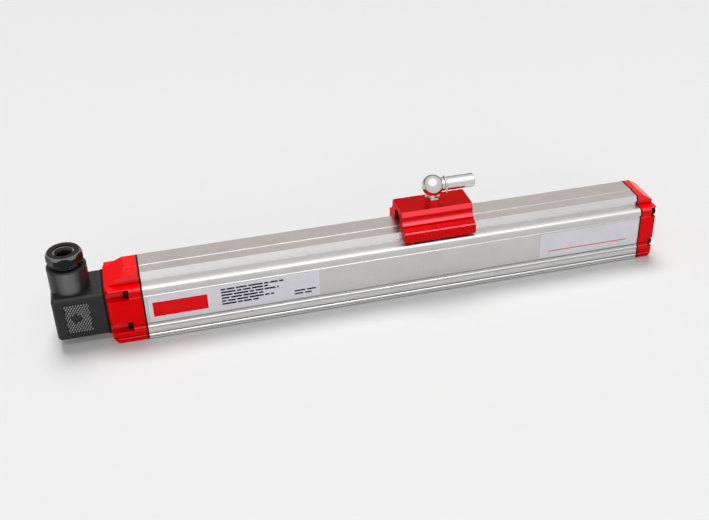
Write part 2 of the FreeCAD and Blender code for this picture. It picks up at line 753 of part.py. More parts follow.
def make_board_parts():
    """Header, processor, regulator and capacitors that stand on the board."""
    top = s.board_height + s.board_thickness
    start = LEFT_END + s.board_inset
    parts = [box(s.header_length, s.stem_width, s.header_height, start + s.header_length / 2,
                 ZERO, top)]
    for step in range(2):
        x = start + s.chip_start + s.chip_spacing * step
        parts.append(box(s.chip_width, s.chip_width, s.chip_height, x, ZERO, top))
    for step in range(3):
        x = start + s.capacitor_start + s.capacitor_spacing * step
        parts.append(cylinder(s.capacitor_radius, s.capacitor_height, x, s.capacitor_shift, top))
    register(group(*parts), "board_components")


def make_waveguide():
    left = LEFT_END + s.waveguide_inset
    right = RIGHT_END - s.waveguide_inset
    level = s.waveguide_height
    inside = right - left
    register(cylinder(s.wire_radius, inside, left, ZERO, level, "x"), "waveguide_wire")
    tube_start = left + s.head_length
    tube_length = inside - s.head_length - s.damper_length
    tube = cut(cylinder(s.tube_radius, tube_length, tube_start, ZERO, level, "x"),
               cylinder(s.tube_bore, tube_length, tube_start, ZERO, level, "x"))
    register(tube, "waveguide_tube")
    width = s.channel_width - s.inner_play * 2
    low = level - s.carrier_height / 2
    carrier = cut(box(tube_length, width, s.carrier_height, tube_start + tube_length / 2, ZERO, low),
                  cylinder(s.tube_radius + s.inner_play, tube_length, tube_start, ZERO, level, "x"))
    register(carrier, "waveguide_carrier")
    roof = RAIL_TOP - s.rail_wall - s.inner_play
    base = s.shoulder_height - s.top_wall - s.head_drop
    wire_hole = s.wire_radius + s.thread_play
    head = cut(box(s.head_length, width, roof - base, left + s.head_length / 2, ZERO, base),
               cylinder(wire_hole, s.head_length, left, ZERO, level, "x"))
    register(head, "pickup_head")
    damper_start = right - s.damper_length
    damper = cut(box(s.damper_length, width, s.carrier_height, right - s.damper_length / 2, ZERO, low),
                 cylinder(wire_hole, s.damper_length, damper_start, ZERO, level, "x"))
    register(damper, "waveguide_damper")


def make_socket():
    """Socket with its square stem in the cap's end wall, and the blades that leave it."""
    wall = s.cap_end_wall
    flange = s.stem_width + s.socket_flange * 2
    back = PLUG_FACE + wall + s.socket_flange_thickness
    level = s.plug_height
    stem = box(wall, s.stem_width, s.stem_width, PLUG_FACE + wall / 2, ZERO,
               level - s.stem_width / 2)
    plate = box(s.socket_flange_thickness, flange, flange, back - s.socket_flange_thickness / 2,
                ZERO, level - flange / 2)
    thread = cylinder(s.fixing_radius + s.thread_play, back - PLUG_FACE, PLUG_FACE, ZERO, level, "x")
    register(cut(fuse(stem, plate), thread), "socket_insert")
    blades = []
    for side in (-1, 1):
        flat = box(s.blade_length, s.blade_width, s.blade_thickness, PLUG_FACE - s.blade_length / 2,
                   ZERO, level + s.blade_offset * side - s.blade_thickness / 2)
        upright = box(s.blade_length, s.blade_thickness, s.blade_width,
                      PLUG_FACE - s.blade_length / 2, s.blade_offset * side,
                      level - s.blade_width / 2)
        blades += [flat, upright]
    register(group(*blades), "contact_blades")
    return back


def make_leads(back):
    """Four flat leads from the socket to the header on the board."""
    header = LEFT_END + s.board_inset
    level = s.board_height + s.board_thickness * 2
    leads = []
    for step in (-1.5, -0.5, 0.5, 1.5):
        leads.append(box(header - back, s.lead_width, s.lead_thickness, (header + back) / 2,
                         s.blade_width * step, level))
    register(group(*leads), "inner_leads")


def make_flat_seal():
    body = new_body("plug_seal")
    sheet = new_sketch(body, "YZ_Plane")
    half = s.plug_width / 2 - s.label_margin
    rectangle(sheet, -half, half, -half, half)
    pad(body, sheet, s.seal_thickness, reversed=True)
    window = new_sketch(body, "YZ_Plane")
    half = s.plug_width / 2 - s.plug_wall - s.label_margin
    rectangle(window, -half, half, -half, half)
    pocket(body, window, s.seal_thickness)
    place(body, PLUG_FACE, ZERO, s.plug_height)


def make_plug_housing():
    body = new_body("plug_housing")
    start = -s.seal_thickness
    end = start - s.plug_length
    half = s.plug_width / 2
    section = new_sketch(body, "YZ_Plane", start)
    round_ = s.plug_edge_round
    outline(section, [
        (-half + round_, -half), (half - round_, -half, round_),
        (half, -half + round_), (half, half - round_, round_),
        (half - round_, half), (-half + round_, half, round_),
        (-half, half - round_), (-half, -half + round_, round_),
    ])
    solid = pad(body, section, s.plug_length, reversed=True)
    dress(body, "Chamfer", solid, lambda edge: abs(edge.CenterOfMass.x - end.value) < 1e-6,
          s.plug_end_chamfer)
    tower_x = start - TOWER_SET
    circle = new_sketch(body, "XY_Plane")
    circles(circle, [(tower_x, ZERO)], s.tower_radius)
    rim = s.tower_top - s.plug_height
    tower = pad(body, circle, rim)
    dress(body, "Chamfer", tower, lambda edge: abs(edge.CenterOfMass.z - rim.value) < 1e-6,
          s.tower_rim_chamfer)
    bore = new_sketch(body, "XY_Plane", rim)
    circles(bore, [(tower_x, ZERO)], s.tower_bore)
    pocket(body, bore, rim)
    hollow = new_sketch(body, "YZ_Plane", start)
    inner = half - s.plug_wall
    rectangle(hollow, -inner, inner, -inner, inner)
    pocket(body, hollow, s.plug_length - s.plug_end_wall, reversed=False)
    for side in (-1, 1):
        face = new_sketch(body, "XZ_Plane", half * side)
        middle = start - s.panel_grip_position
        rectangle(face, middle - s.panel_grip_width / 2, middle + s.panel_grip_width / 2,
                  -(s.panel_grip_height / 2), s.panel_grip_height / 2)
        pocket(body, face, s.panel_grip_depth, reversed=side < 0)
        dimple = new_sketch(body, "XZ_Plane", half * side)
        circles(dimple, [(middle - s.dimple_shift, ZERO)], s.dimple_radius)
        pocket(body, dimple, s.panel_grip_depth + s.dimple_depth, reversed=side < 0)
    recess = new_sketch(body, "YZ_Plane", end)
    circles(recess, [(ZERO, ZERO)], s.fixing_recess_radius)
    pocket(body, recess, s.fixing_recess_depth, reversed=True)
    hole = new_sketch(body, "YZ_Plane", end)
    circles(hole, [(ZERO, ZERO)], s.fixing_radius + s.screw_hole_play)
    pocket(body, hole, s.plug_end_wall, reversed=True)
    place(body, PLUG_FACE, ZERO, s.plug_height)


def make_terminal_block():
    body = new_body("terminal_block")
    half = s.plug_width / 2 - s.plug_wall - s.block_play
    start = -s.seal_thickness - s.block_set_back
    section = new_sketch(body, "YZ_Plane", start)
    rectangle(section, -half, half, -half, half)
    pad(body, section, s.block_length, reversed=True)
    slots = new_sketch(body, "YZ_Plane", start)
    play = s.block_play
    for side in (-1, 1):
        middle = s.blade_offset * side
        wide = s.blade_width / 2 + play
        thin = s.blade_thickness / 2 + play
        rectangle(slots, -wide, wide, middle - thin, middle + thin)
        rectangle(slots, middle - thin, middle + thin, -wide, wide)
    pocket(body, slots, s.blade_length, reversed=False)
    hole = new_sketch(body, "YZ_Plane", start)
    circles(hole, [(ZERO, ZERO)], s.fixing_radius + s.screw_hole_play)
    pocket(body, hole, s.block_length, reversed=False)
    place(body, PLUG_FACE, ZERO, s.plug_height)


def make_fixing_screw():
    end = PLUG_FACE - s.seal_thickness - s.plug_length + s.fixing_recess_depth
    head_seat = end - s.ring_thickness
    level = s.plug_height
    tip = PLUG_FACE + s.cap_end_wall
    head = cylinder(s.fixing_head_radius, s.fixing_head_height, head_seat - s.fixing_head_height,
                    ZERO, level, "x")
    shaft = cylinder(s.fixing_radius, tip - head_seat, head_seat, ZERO, level, "x")
    slot = box(s.fixing_head_height, s.fixing_head_radius * 2.2, s.blade_thickness,
               head_seat - s.fixing_head_height, ZERO, level - s.blade_thickness / 2)
    register(cut(fuse(head, shaft), slot), "plug_fixing_screw")
    ring = cut(cylinder(s.fixing_head_radius, s.ring_thickness, head_seat, ZERO, level, "x"),
               cylinder(s.fixing_radius + s.screw_hole_play, s.ring_thickness, head_seat, ZERO,
                        level, "x"))
    register(ring, "plug_screw_ring")


def make_gland():
    """Nut, sliding washer and rubber grommet stacked in the cable tower."""
    x = PLUG_FACE - s.seal_thickness - TOWER_SET
    low = s.tower_top + s.nut_gap
    top = low + s.nut_height
    body = new_body("gland_nut")
    prism = new_sketch(body, "XY_Plane")
    reach = s.nut_across / 3 ** 0.5
    corners = []
    for across, up in ((1, 0), (0.5, 0.5), (-0.5, 0.5), (-1, 0), (-0.5, -0.5), (0.5, -0.5)):
        corners.append((reach * across, s.nut_across * up))
    outline(prism, corners)
    pad(body, prism, s.nut_height)
    shape = new_sketch(body, "XZ_Plane")
    beyond = s.nut_radius * 1.5
    chamfer = s.nut_lower_chamfer
    band = s.nut_band_radius
    rim = s.nut_radius - s.nut_rim_width
    outline(shape, [
        (band - chamfer, ZERO), (band, chamfer), (band, s.nut_band_height),
        (s.nut_radius - chamfer, s.nut_band_height), (s.nut_radius, s.nut_band_height + chamfer),
        (s.nut_radius, s.nut_height - s.nut_rim_drop), (rim, s.nut_height),
        (rim, s.nut_height + chamfer), (beyond, s.nut_height + chamfer),
        (beyond, -chamfer), (band - chamfer, -chamfer),
    ])
    revolve(body, "Groove", shape, "V_Axis")
    skirt = new_sketch(body, "XY_Plane")
    circles(skirt, [(ZERO, ZERO)], s.nut_thread_radius)
    pad(body, skirt, s.nut_thread_length, reversed=True)
    opening = new_sketch(body, "XY_Plane", s.nut_height)
    circles(opening, [(ZERO, ZERO)], s.nut_bore)
    pocket(body, opening, s.nut_height + s.nut_thread_length)
    inside = new_sketch(body, "XY_Plane", s.nut_height - s.nut_top_wall)
    circles(inside, [(ZERO, ZERO)], s.nut_inner_radius)
    pocket(body, inside, s.nut_height - s.nut_top_wall + s.nut_thread_length)
    place(body, x, ZERO, low)
    ring_top = top - s.nut_top_wall
    outer = s.nut_inner_radius - s.grommet_play
    washer_low = ring_top - s.washer_thickness
    washer = cut(cylinder(outer, s.washer_thickness, x, ZERO, washer_low),
                 cylinder(s.washer_bore, s.washer_thickness, x, ZERO, washer_low))
    register(washer, "gland_washer")
    grommet_low = washer_low - s.grommet_height
    grommet = cut(cylinder(outer, s.grommet_height, x, ZERO, grommet_low),
                  cylinder(s.grommet_bore, s.grommet_height, x, ZERO, grommet_low))
    register(grommet, "gland_grommet")


def flank(height):
    """Half width of the rail's undercut flank at a height above the bottom."""
    slope = (s.rail_wide_width - s.rail_neck_width) / 2 / (RAIL_WIDE_HEIGHT - s.shoulder_height)
    return s.rail_neck_width / 2 + slope * (height - s.shoulder_height)


def around_rail(low, play, rise):
    """Right half of an outline at a sideways play around the rail, from a low height up."""
    return [
        (flank(low) + play, low),
        (s.rail_wide_width / 2 + play, RAIL_WIDE_HEIGHT + play * 0.2),
        (s.rail_top_width / 2 + play * 0.7, RAIL_TOP + rise),
    ]


GLIDE_SIDE = s.glide_play + s.glide_thickness * 1.5
SEAT_SIDE = GLIDE_SIDE + s.glide_seat * 1.5
SEAT_RISE = s.glide_play + s.glide_thickness + s.glide_seat


def slider_half():
    """Right half of the slider's section, outside from the top, then inside from the skirt."""
    top = s.slider_top_width / 2
    side = top + s.slider_chamfer
    foot = s.slider_cove_width / 2
    skirt = s.slider_width / 2
    channel_foot = RAIL_TOP + SEAT_RISE
    return [
        (top, s.slider_top),
        (side, s.slider_top - s.slider_chamfer_drop),
        (side, s.slider_cove_top, s.slider_cove_radius),
        (foot, s.slider_cove_foot),
        (foot, s.slider_crease),
        (skirt - s.slider_skirt_edge, s.slider_skirt_top),
        (skirt, s.slider_skirt_top - s.slider_skirt_edge),
        (skirt, s.slider_bottom),
        (flank(s.slider_bottom) + SEAT_SIDE, s.slider_bottom),
        (s.rail_wide_width / 2 + SEAT_SIDE, RAIL_WIDE_HEIGHT + SEAT_SIDE * 0.2),
        (s.rail_top_width / 2 + SEAT_SIDE * 0.7, channel_foot),
        (s.magnet_channel_radius * 0.8, channel_foot),
    ]


def make_slider():
    body = new_body("slider_body")
    section = new_sketch(body, "YZ_Plane")
    outline(section, mirrored(slider_half()))
    pad(body, section, s.slider_length, middle=True)
    channel = new_sketch(body, "YZ_Plane")
    circles(channel, [(ZERO, s.magnet_channel_height)], s.magnet_channel_radius)
    pocket(body, channel, s.slider_length, middle=True)
    hole = new_sketch(body, "XY_Plane", s.slider_top)
    circles(hole, [(ZERO, ZERO)], s.stud_radius + s.thread_play)
    pocket(body, hole, s.slider_top - s.magnet_channel_height)
    place(body, s.slider_rest)


def make_glide(name, side):
    body = new_body(name)
    section = new_sketch(body, "YZ_Plane")
    low = s.slider_bottom + s.lip_height
    inner = around_rail(low, s.glide_play, s.glide_play)
    outer = around_rail(low, GLIDE_SIDE, s.glide_play + s.glide_thickness)
    corners = inner + [(s.glide_inner, RAIL_TOP + s.glide_play),
                       (s.glide_inner, RAIL_TOP + s.glide_play + s.glide_thickness)]
    corners += list(reversed(outer))
    outline(section, [(across * side, up) for across, up in corners])
    pad(body, section, s.slider_length, middle=True)
    place(body, s.slider_rest)


def make_magnets():
    """Two rods in the round channel, each with a flat ground on its underside."""
    radius = s.magnet_channel_radius - s.magnet_play
    flat = RAIL_TOP + s.bead_height + s.magnet_gap
    magnets = []
    for side in (-1, 1):
        middle = s.slider_rest + s.magnet_spacing / 2 * side
        rod = cylinder(radius, s.magnet_length, middle - s.magnet_length / 2, ZERO,
                       s.magnet_channel_height, "x")
        upper = box(s.magnet_length, radius * 2, radius * 3, middle, ZERO, flat)
        magnets.append(common(rod, upper))
    register(group(*magnets), "position_magnets")


BALL_LOW = -50
BALL_HIGH = 55


def make_ball_stud():
    top = s.slider_top
    ball_height = top + s.ball_height
    x = s.slider_rest
    parts = [
        sphere(s.ball_radius, BALL_LOW, BALL_HIGH, x, ZERO, ball_height),
        cylinder(s.stud_neck_radius, s.ball_height, x, ZERO, top),
        hexagon(s.collar_across, s.collar_height, x, ZERO, top),
        cylinder(s.stud_radius, s.stud_length, x, ZERO, top - s.stud_length),
    ]
    register(fuse(*parts), "ball_stud")


def make_ball_cup():
    """Cup and shank: two revolved forms that meet. The seat inside is turned with bevels
    that touch the ball all round, and its lip is narrower than the ball."""
    body = new_body("ball_cup")
    shank = new_sketch(body, "XZ_Plane")
    near = s.clip_position - s.clip_wire_radius - s.clip_play
    far = s.clip_position + s.clip_wire_radius + s.clip_play
    chamfer = s.shank_chamfer
    outline(shank, [
        (ZERO, ZERO), (s.shank_reach, ZERO), (s.shank_reach, s.shank_radius - chamfer),
        (s.shank_reach - chamfer, s.shank_radius), (far, s.shank_radius),
        (far, s.clip_seat_radius), (near, s.clip_seat_radius), (near, s.shank_radius),
        (ZERO, s.shank_radius),
    ])
    revolve(body, "Revolution", shank, "H_Axis")
    cup = new_sketch(body, "XZ_Plane")
    drop = -s.cup_mouth_drop
    mouth_edge = (s.cup_radius * s.cup_radius - drop * drop).root()
    outline(cup, [
        (ZERO, drop), (mouth_edge, drop, s.cup_radius), (ZERO, s.cup_radius),
    ])
    revolve(body, "Revolution", cup, "V_Axis")
    seat = new_sketch(body, "XZ_Plane")
    radius = s.ball_radius + s.ball_play
    bevel = radius * (2 ** 0.5 - 1)
    lip = s.cup_lip_radius
    outline(seat, [
        (ZERO, drop), (s.cup_mouth_radius, drop), (lip, lip - radius - bevel),
        (radius, -bevel), (radius, bevel), (bevel, radius), (ZERO, radius),
    ])
    revolve(body, "Groove", seat, "V_Axis")
    thread = new_sketch(body, "YZ_Plane", s.shank_reach)
    circles(thread, [(ZERO, ZERO)], s.shank_thread_radius)
    pocket(body, thread, s.shank_thread_depth)
    place(body, s.slider_rest, ZERO, s.slider_top + s.ball_height)


def ring_of_corners(across, up, radius, count):
    """Corners of a regular polygon around a point."""
    corners = []
    for step in range(count):
        turn = 2 * math.pi * (step + 0.5) / count
        corners.append((across + radius * math.cos(turn), up + radius * math.sin(turn)))
    return corners


def make_clip():
    """Bent wire over the shank with a leg down each side of the cup."""
    body = new_body("safety_clip")
    bend = s.clip_seat_radius + s.clip_play + s.clip_wire_radius
    section = new_sketch(body, "XY_Plane")
    outline(section, ring_of_corners(ZERO, bend, s.clip_wire_radius, 8))
    revolve(body, "Revolution", section, "H_Axis", angle=180)
    legs = new_sketch(body, "XY_Plane")
    for side in (-1, 1):
        outline(legs, ring_of_corners(ZERO, bend * side, s.clip_wire_radius, 8))
    pad(body, legs, s.clip_drop, reversed=True)
    place(body, s.slider_rest + s.clip_position, ZERO, s.slider_top + s.ball_height)


def make_label(name, length, middle):
    low = s.panel_low + s.label_margin
    height = s.panel_high - s.panel_low - s.label_margin * 2
    face = HALF - s.panel_recess
    y = -(face + s.label_thickness / 2)
    register(box(length, s.label_thickness, height, middle, y, low), name)


make_profile()
make_gasket("connector_gasket", CAP_LEFT)
make_gasket("plain_gasket", RIGHT_END)
make_connector_cap()
make_plain_cap()
make_cap_screws("connector_cap_screws", CAP_LEFT - s.head_stack_connector, -1)
make_cap_screws("plain_cap_screws", CAP_RIGHT + s.head_stack_plain, 1)
make_board()
make_board_parts()
make_waveguide()
make_leads(make_socket())
make_flat_seal()
make_plug_housing()
make_terminal_block()
make_fixing_screw()
make_gland()
make_slider()
make_glide("front_glide", -1)
make_glide("rear_glide", 1)
make_magnets()
make_ball_stud()
make_ball_cup()
make_clip()
make_label("long_label", s.long_label_length,
           LEFT_END + s.label_inset + s.long_label_length / 2)
make_label("short_label", s.short_label_length,
           RIGHT_END - s.short_label_inset - s.short_label_length / 2)
doc.recompute()

for item in doc.Objects:
    if "Invalid" in item.State or "Error" in item.State:
        raise RuntimeError("%s (%s) failed" % (item.Name, item.Label))
os.makedirs("parts", exist_ok=True)
for piece in pieces:
    shape = piece.Shape
    if shape.isNull() or not shape.isValid():
        raise RuntimeError(piece.Label + " has no valid shape")
    shape.exportStep("parts/%s.step" % piece.Label)
    extent = shape.BoundBox
    print("%-22s %d solid  %9.1f mm3  x %.1f..%.1f  y %.1f..%.1f  z %.1f..%.1f" % (
        piece.Label, len(shape.Solids), shape.Volume, extent.XMin, extent.XMax,
        extent.YMin, extent.YMax, extent.ZMin, extent.ZMax))
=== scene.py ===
import json
import math

import bmesh
import bpy
from mathutils import Euler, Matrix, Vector


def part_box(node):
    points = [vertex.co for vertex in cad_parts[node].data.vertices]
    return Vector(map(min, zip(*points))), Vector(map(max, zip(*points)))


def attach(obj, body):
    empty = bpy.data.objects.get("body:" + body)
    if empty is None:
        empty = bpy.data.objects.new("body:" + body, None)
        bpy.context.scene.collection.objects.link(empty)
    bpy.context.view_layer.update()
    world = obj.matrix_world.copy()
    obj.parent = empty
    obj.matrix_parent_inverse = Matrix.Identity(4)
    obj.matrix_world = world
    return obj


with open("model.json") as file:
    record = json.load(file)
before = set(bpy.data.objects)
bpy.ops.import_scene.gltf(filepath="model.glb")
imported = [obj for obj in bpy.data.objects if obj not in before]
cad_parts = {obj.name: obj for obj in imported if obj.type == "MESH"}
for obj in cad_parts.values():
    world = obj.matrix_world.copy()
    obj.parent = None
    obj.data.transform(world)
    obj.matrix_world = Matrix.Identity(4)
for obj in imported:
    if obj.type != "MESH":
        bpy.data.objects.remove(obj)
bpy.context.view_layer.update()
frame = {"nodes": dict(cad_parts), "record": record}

NODES = frame["nodes"]
MM = 0.001

# Mix node: numbers of its colour sockets. Map range: the range from 0 to 1
MIX_FIRST, MIX_SECOND, MIX_RESULT = 6, 7, 2
UNIT = (0.0, 1.0)

# Camera, lights and stage

CAMERA_PLACE = (-0.14350, -0.51272, 0.35172)
CAMERA_TURN = (57.7222, 1.6722, -14.0517)
CAMERA_LENS = 53.065
CAMERA_NEAR = 0.01
WHITE = (1.0, 1.0, 1.0, 1.0)
PALE = 0.863
SKY_DIFFUSE = 0.27
SKY_LOW = 0.92
SKY_HIGH = 1.75
SKY_BACK = 0.1
SKY_WARM = (1.0, 0.905, 0.86, 1.0)
KEY_DIRECTION = (-0.12, -0.42, 0.90)
KEY_FADE = (0.55, 0.95)
HEIGHT_DIRECTION = (0.0, -0.5, 1.0)
BACK_FADE = (-0.25, 0.08)
WARM_FADE = (0.1, 0.8)
LAMP_TARGET = (0.0, 0.0, 0.02)
FLOOR_COLOUR = 0.69
FLOOR_GLOW = 0.86
FLOOR_STEADY = 0.1
FLOOR_SIZE = 8.0
FLOOR_DROP = 0.0002


def make_camera():
    camera = bpy.data.objects.new("camera", bpy.data.cameras.new("camera"))
    bpy.context.scene.collection.objects.link(camera)
    camera.location = CAMERA_PLACE
    camera.rotation_euler = Euler([math.radians(turn) for turn in CAMERA_TURN])
    camera.data.lens = CAMERA_LENS
    camera.data.clip_start = CAMERA_NEAR
    bpy.context.scene.camera = camera


def make_softbox(name, place, size, power, shown=True):
    """Rectangular area light at a place, turned towards the object. Where it isn't shown,
    reflections leave it out."""
    lamp = bpy.data.lights.new(name, "AREA")
    lamp.shape = "RECTANGLE"
    lamp.size, lamp.size_y = size
    lamp.energy = power
    holder = bpy.data.objects.new(name, lamp)
    bpy.context.scene.collection.objects.link(holder)
    holder.location = place
    holder.visible_glossy = shown
    towards = Vector(LAMP_TARGET) - Vector(place)
    holder.rotation_euler = towards.to_track_quat("-Z", "Y").to_euler()


def make_high_light(elevation, azimuth, spread, strength):
    """Even soft light from far behind and above, which draws the shadow on the floor.
    The azimuth is counted from +Y towards +X."""
    lamp = bpy.data.lights.new("high_light", "SUN")
    lamp.angle = math.radians(spread)
    lamp.energy = strength
    holder = bpy.data.objects.new("high_light", lamp)
    bpy.context.scene.collection.objects.link(holder)
    level = math.cos(math.radians(elevation))
    way = Vector((level * math.sin(math.radians(azimuth)),
                  level * math.cos(math.radians(azimuth)),
                  math.sin(math.radians(elevation))))
    holder.rotation_euler = (-way).to_track_quat("-Z", "Y").to_euler()
    holder.visible_glossy = False


def seen_directly(nodes):
    """Is Camera Ray, and 1 for camera, glossy and transmission rays but 0 for the light
    that a surface sends on."""
    path = nodes.new("ShaderNodeLightPath")
    total = path.outputs["Is Camera Ray"]
    for name in ("Is Glossy Ray", "Is Transmission Ray"):
        either = nodes.new("ShaderNodeMath")
        either.operation = "MAXIMUM"
        nodes.id_data.links.new(total, either.inputs[0])
        nodes.id_data.links.new(path.outputs[name], either.inputs[1])
        total = either.outputs[0]
    return path.outputs["Is Camera Ray"], total


def map_value(nodes, value, from_range, to_range, smooth=False):
    """Maps a value from one range to another. An end of the new range may be a socket."""
    ranged = nodes.new("ShaderNodeMapRange")
    if smooth:
        ranged.interpolation_type = "SMOOTHSTEP"
    links = nodes.id_data.links
    links.new(value, ranged.inputs["Value"])
    ends = ("From Min", "From Max", "To Min", "To Max")
    for name, end in zip(ends, (*from_range, *to_range)):
        if isinstance(end, bpy.types.NodeSocket):
            links.new(end, ranged.inputs[name])
        else:
            ranged.inputs[name].default_value = end
    return ranged.outputs["Result"]


def along_direction(nodes, direction):
    """How far the sky's direction points along another one."""
    product = nodes.new("ShaderNodeVectorMath")
    product.operation = "DOT_PRODUCT"
    product.inputs[1].default_value = direction
    sky = nodes.new("ShaderNodeTexCoord").outputs["Generated"]
    nodes.id_data.links.new(sky, product.inputs[0])
    return product.outputs["Value"]


def make_world():
    """Plain pale sky for the camera, even light for surfaces, and for reflections a sky
    that brightens softly towards the studio's main light and is dark and warm behind."""
    world = bpy.data.worlds.new("studio")
    world.use_nodes = True
    bpy.context.scene.world = world
    nodes, links = world.node_tree.nodes, world.node_tree.links
    background = nodes["Background"]
    towards = along_direction(nodes, Vector(KEY_DIRECTION).normalized())
    height = along_direction(nodes, HEIGHT_DIRECTION)
    camera_ray, direct = seen_directly(nodes)
    glow = map_value(nodes, towards, KEY_FADE, (SKY_LOW, SKY_HIGH), True)
    glow = map_value(nodes, height, BACK_FADE, (SKY_BACK, glow), True)
    strength = map_value(nodes, direct, UNIT, (SKY_DIFFUSE, glow))
    strength = map_value(nodes, camera_ray, UNIT, (strength, PALE))
    neutral = map_value(nodes, height, WARM_FADE, UNIT, True)
    neutral = map_value(nodes, direct, UNIT, (1.0, neutral))
    neutral = map_value(nodes, camera_ray, UNIT, (neutral, 1.0))
    tint = nodes.new("ShaderNodeMix")
    tint.data_type = "RGBA"
    tint.inputs[MIX_FIRST].default_value = SKY_WARM
    tint.inputs[MIX_SECOND].default_value = WHITE
    links.new(neutral, tint.inputs["Factor"])
    links.new(tint.outputs[MIX_RESULT], background.inputs["Color"])
    links.new(strength, background.inputs["Strength"])


def make_floor():
    """Pale floor with a small steady share for the camera and for reflections. The rest is
    real shading, so that the soft shadow under the object stays."""
    bpy.ops.mesh.primitive_plane_add(size=FLOOR_SIZE, location=(0, 0, -FLOOR_DROP))
    floor = bpy.context.object
    floor.name = "floor"
    material = bpy.data.materials.new("floor")
    material.use_nodes = True
    nodes, links = material.node_tree.nodes, material.node_tree.links
    nodes.remove(nodes["Principled BSDF"])
    matt = nodes.new("ShaderNodeBsdfDiffuse")
    matt.inputs["Color"].default_value = (FLOOR_COLOUR, FLOOR_COLOUR, FLOOR_COLOUR, 1.0)
    glow = nodes.new("ShaderNodeEmission")
    glow.inputs["Color"].default_value = WHITE
    glow.inputs["Strength"].default_value = FLOOR_GLOW
    _, direct = seen_directly(nodes)
    share = map_value(nodes, direct, UNIT, (0.0, FLOOR_STEADY))
    mix = nodes.new("ShaderNodeMixShader")
    links.new(share, mix.inputs["Fac"])
    links.new(matt.outputs["BSDF"], mix.inputs[1])
    links.new(glow.outputs["Emission"], mix.inputs[2])
    links.new(mix.outputs["Shader"], nodes["Material Output"].inputs["Surface"])
    floor.data.materials.append(material)


# Materials

PATCHES = (60.0, 60.0, 60.0)
PATCH_DETAIL = 3.0
GRAIN_DETAIL = 4.0
NOISE_RANGE = (0.3, 0.7)
HIGHLIGHT_RANGE = (0.25, 0.95)


class Surface:
    """A procedural material. Scales are in ripples per metre on the row frame's axes."""

    def __init__(self, name):
        self.material = bpy.data.materials.new(name)
        self.material.use_nodes = True
        self.tree = self.material.node_tree
        self.shader = self.tree.nodes["Principled BSDF"]
        self.place = self.tree.nodes.new("ShaderNodeTexCoord").outputs["Object"]

    def node(self, kind, sockets, **settings):
        """A new node. Each value in sockets is linked if it is a socket, or else set."""
        made = self.tree.nodes.new("ShaderNode" + kind)
        for key, value in settings.items():
            setattr(made, key, value)
        for key, value in sockets.items():
            if isinstance(value, bpy.types.NodeSocket):
                self.tree.links.new(value, made.inputs[key])
            else:
                made.inputs[key].default_value = value
        return made

    def math(self, operation, first, second=0.0, clamp=False):
        return self.node("Math", {0: first, 1: second}, operation=operation,
                         use_clamp=clamp).outputs[0]

    def noise(self, scale, detail=PATCH_DETAIL):
        spread = self.node("Mapping", {"Vector": self.place, "Scale": scale})
        return self.node("TexNoise", {"Vector": spread.outputs["Vector"], "Scale": 1.0,
                                      "Detail": detail}).outputs["Fac"]

    def between(self, value, low, high, start=NOISE_RANGE[0], end=NOISE_RANGE[1]):
        """Maps a value, by default a noise, to the range from low to high."""
        return self.node("MapRange", {"Value": value, "From Min": start, "From Max": end,
                                      "To Min": low, "To Max": high}).outputs["Result"]

    def blend(self, share, dark, light):
        mix = self.node("Mix", {"Factor": share}, data_type="RGBA")
        for index, colour in ((MIX_FIRST, dark), (MIX_SECOND, light)):
            if isinstance(colour, bpy.types.NodeSocket):
                self.tree.links.new(colour, mix.inputs[index])
            else:
                mix.inputs[index].default_value = (*colour, 1.0)
        return mix.outputs[MIX_RESULT]

    def axes(self, vector):
        """The X, Y and Z sockets of a vector."""
        return self.node("SeparateXYZ", {"Vector": vector}).outputs

    def facing(self):
        """The X, Y and Z sockets of the face's normal."""
        return self.axes(self.node("TexCoord", {}).outputs["Normal"])

    def slant(self, sideways=True):
        """Nearly 1 on faces at 45 degrees to the XY plane, 0 on flat and on upright ones.
        Sideways leaves out the faces that slant along X."""
        facing = self.facing()
        upward = self.math("POWER", facing["Z"], 2.0)
        if sideways:
            across = self.math("POWER", facing["Y"], 2.0)
        else:
            across = self.math("SUBTRACT", 1.0, upward)
        return self.math("MULTIPLY", self.math("MULTIPLY", upward, across), 4.0)

    def feed(self, socket, value):
        self.tree.links.new(value, self.shader.inputs[socket])

    def tone(self, dark, light):
        """Colour between two tones in soft patches."""
        return self.blend(self.between(self.noise(PATCHES), 0.0, 1.0), dark, light)

    def relief(self, height, distance, edge):
        """Fine relief over edges that are softened by the radius edge."""
        soft = self.node("Bevel", {"Radius": edge}, samples=6)
        bump = self.node("Bump", {"Height": height, "Distance": distance, "Strength": 1.0,
                                  "Normal": soft.outputs["Normal"]})
        self.feed("Normal", bump.outputs["Normal"])


def plain_surface(name, dark, light, grain, rough, depth, edge=0.15 * MM, painted_highlight=None,
                  sideways=True, **fixed):
    """Colour between two tones in soft patches, fine grain in roughness and relief, and a
    painted highlight, a paler tone on slanting faces, where its colour is given. The values in
    fixed go on the shader's own sockets."""
    surface = Surface(name)
    fine = surface.noise(grain, GRAIN_DETAIL)
    colour = surface.tone(dark, light)
    # Painted highlight: a paler colour on slanting faces.
    if painted_highlight:
        pale = surface.between(surface.slant(sideways), 0.0, 1.0, *HIGHLIGHT_RANGE)
        colour = surface.blend(pale, colour, painted_highlight)
    surface.feed("Base Color", colour)
    surface.feed("Roughness", surface.between(fine, *rough))
    surface.relief(fine, depth, edge)
    for socket, value in fixed.items():
        surface.shader.inputs[socket.replace("_", " ")].default_value = value
    return surface
